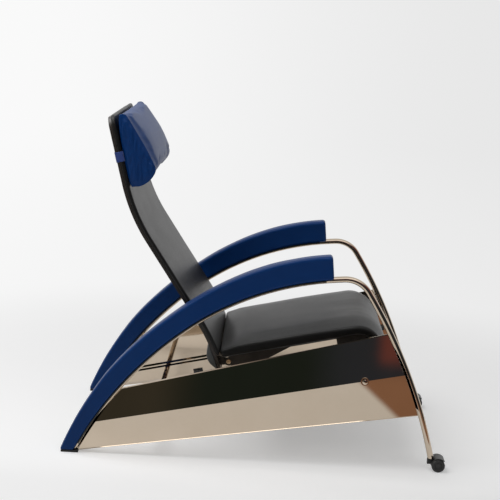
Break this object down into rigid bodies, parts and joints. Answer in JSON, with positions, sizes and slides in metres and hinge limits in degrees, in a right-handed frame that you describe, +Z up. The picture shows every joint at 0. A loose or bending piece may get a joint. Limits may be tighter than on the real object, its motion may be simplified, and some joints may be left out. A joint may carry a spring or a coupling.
{
  "type": "reclining lounge armchair",
  "caption": "Reclining lounge armchair: sliding seat and hinged back between polished steel girders, bent tube arches with padded arms, front castors, strapped headrest.",
  "frame": {"origin": "on the floor, midway between the rear ends of the arm pads and the front of the castors, and midway between the two arms", "axes": "+X to the front of the chair, +Y to the sitter's left, +Z up"},
  "size_m": [1.148, 0.6876, 1.0104],
  "materials": {
    "polished_steel": "mirror polished, warm nickel tone",
    "blue_leather": "satin, smooth grain",
    "blue_strap": "matt",
    "black_rubber": "matt",
    "black_strip": "satin",
    "black_plastic": "satin",
    "black_metal": "satin",
    "castor_tyre": "satin",
    "black_leather": "satin, smooth grain",
    "grey_leather": "satin, smooth grain",
    "black_plywood": "satin stain",
    "ivory_nylon": "satin"
  },
  "bodies": {
    "frame": {"right_frame_tube": "polished_steel", "left_frame_tube": "polished_steel", "right_castor_sleeve": "polished_steel", "left_castor_sleeve": "polished_steel", "right_pad_strip": "black_strip", "left_pad_strip": "black_strip", "right_arm_pad": "blue_leather", "left_arm_pad": "blue_leather", "right_foot_glide": "black_rubber", "left_foot_glide": "black_rubber", "right_flank_shell": "polished_steel", "left_flank_shell": "polished_steel", "right_flank_wall": "polished_steel", "left_flank_wall": "polished_steel", "right_guide_rail": "polished_steel", "left_guide_rail": "polished_steel", "right_rail_stop": "black_rubber", "left_rail_stop": "black_rubber", "right_wall_bracket": "black_plastic", "left_wall_bracket": "black_plastic", "right_ridge_bolt": "polished_steel", "left_ridge_bolt": "polished_steel", "rear_cross_tube": "polished_steel", "front_cross_tube": "polished_steel"},
    "right_castor": {"right_castor_housing": "black_plastic", "right_castor_axle": "black_metal"},
    "left_castor": {"left_castor_housing": "black_plastic", "left_castor_axle": "black_metal"},
    "right_outer_wheel": {"right_castor_outer_wheel": "castor_tyre"},
    "left_outer_wheel": {"left_castor_outer_wheel": "castor_tyre"},
    "right_inner_wheel": {"right_castor_inner_wheel": "castor_tyre"},
    "left_inner_wheel": {"left_castor_inner_wheel": "castor_tyre"},
    "seat": {"right_seat_plate": "black_metal", "left_seat_plate": "black_metal", "right_seat_cheek": "black_metal", "left_seat_cheek": "black_metal", "seat_shell": "black_plywood", "seat_cushion": "black_leather", "front_axle": "polished_steel", "rear_axle": "polished_steel", "right_front_shoe": "ivory_nylon", "left_front_shoe": "ivory_nylon", "right_rear_shoe": "ivory_nylon", "left_rear_shoe": "ivory_nylon", "right_hinge_pin": "polished_steel", "left_hinge_pin": "polished_steel"},
    "backrest": {"back_board": "black_plywood", "back_pad": "black_leather", "back_bolster": "grey_leather", "right_hinge_arm": "black_metal", "left_hinge_arm": "black_metal"},
    "headrest": {"headrest_cushion": "blue_leather", "headrest_strap": "blue_strap"}
  },
  "joints": [
    {"name": "seat_slide", "type": "slide", "parent": "frame", "child": "seat", "axis": [0.9732, 0, 0.23], "range_m": [0, 0.11]},
    {"name": "back_recline", "type": "hinge", "parent": "seat", "child": "backrest", "pos_m": [-0.087, 0, 0.278], "axis": [0, -1, 0], "range_deg": [0, 35]},
    {"name": "headrest_height", "type": "slide", "parent": "backrest", "child": "headrest", "axis": [-0.2521, 0, 0.9677], "range_m": [0, 0.07]},
    {"name": "right_castor_swivel", "type": "hinge", "parent": "frame", "child": "right_castor", "pos_m": [0.53056, -0.304, 0.045], "axis": [0, 0, 1], "continuous": true},
    {"name": "right_outer_wheel_spin", "type": "hinge", "parent": "right_castor", "child": "right_outer_wheel", "pos_m": [0.55456, -0.304, 0.02], "axis": [0, 1, 0], "continuous": true},
    {"name": "right_inner_wheel_spin", "type": "hinge", "parent": "right_castor", "child": "right_inner_wheel", "pos_m": [0.55456, -0.304, 0.02], "axis": [0, 1, 0], "continuous": true},
    {"name": "left_castor_swivel", "type": "hinge", "parent": "frame", "child": "left_castor", "pos_m": [0.53056, 0.304, 0.045], "axis": [0, 0, 1], "continuous": true},
    {"name": "left_outer_wheel_spin", "type": "hinge", "parent": "left_castor", "child": "left_outer_wheel", "pos_m": [0.55456, 0.304, 0.02], "axis": [0, 1, 0], "continuous": true},
    {"name": "left_inner_wheel_spin", "type": "hinge", "parent": "left_castor", "child": "left_inner_wheel", "pos_m": [0.55456, 0.304, 0.02], "axis": [0, 1, 0], "continuous": true}
  ]
}
